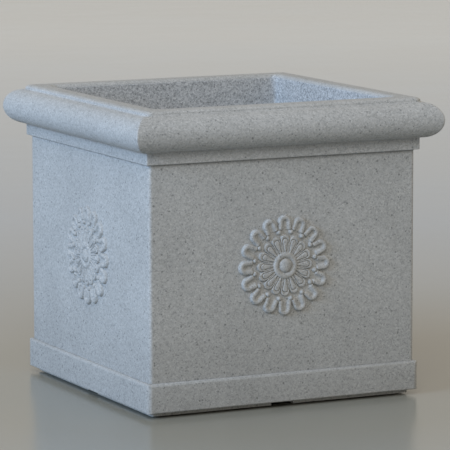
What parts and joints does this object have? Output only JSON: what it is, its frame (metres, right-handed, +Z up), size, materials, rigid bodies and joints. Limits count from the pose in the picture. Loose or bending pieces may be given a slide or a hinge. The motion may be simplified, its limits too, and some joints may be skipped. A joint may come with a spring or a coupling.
{
  "type": "planter box",
  "caption": "Square speckled-stone planter box with a half-round rim, a plinth on low feet, a carved rosette on each face and a floor drain with a lift-out plug.",
  "frame": {"origin": "on the ground, under the middle of the box", "axes": "+Z up, -Y out of the front face, +X to the right seen from the front"},
  "size_m": [0.6, 0.6, 0.536],
  "materials": {
    "speckled_stone": "matte cast stone, light grey with fine dark and pale speckle",
    "jointing_compound": "matte grey jointing compound",
    "stainless_steel": "satin",
    "black_rubber": "matte",
    "moulded_plastic": "fine moulded texture"
  },
  "bodies": {
    "planter": {"body_shell": "speckled_stone", "rim_coping": "speckled_stone", "base_tray": "speckled_stone", "rim_joint_seal": "jointing_compound", "base_joint_seal": "jointing_compound", "rosette_front": "speckled_stone", "rosette_right": "speckled_stone", "rosette_back": "speckled_stone", "rosette_left": "speckled_stone", "rosette_studs": "stainless_steel", "rosette_sealing_washers": "black_rubber", "rosette_cap_nuts": "stainless_steel", "drain_outlet": "moulded_plastic", "drain_gasket": "black_rubber", "drain_backnut": "moulded_plastic", "drain_strainer": "stainless_steel", "floor_pad_front_left": "black_rubber", "floor_pad_front_right": "black_rubber", "floor_pad_back_left": "black_rubber", "floor_pad_back_right": "black_rubber"},
    "plug": {"drain_plug": "black_rubber"}
  },
  "joints": [
    {"name": "drain_plug_lift", "type": "slide", "parent": "planter", "child": "plug", "axis": [0, 0, 1], "range_m": [0, 0.06]}
  ]
}
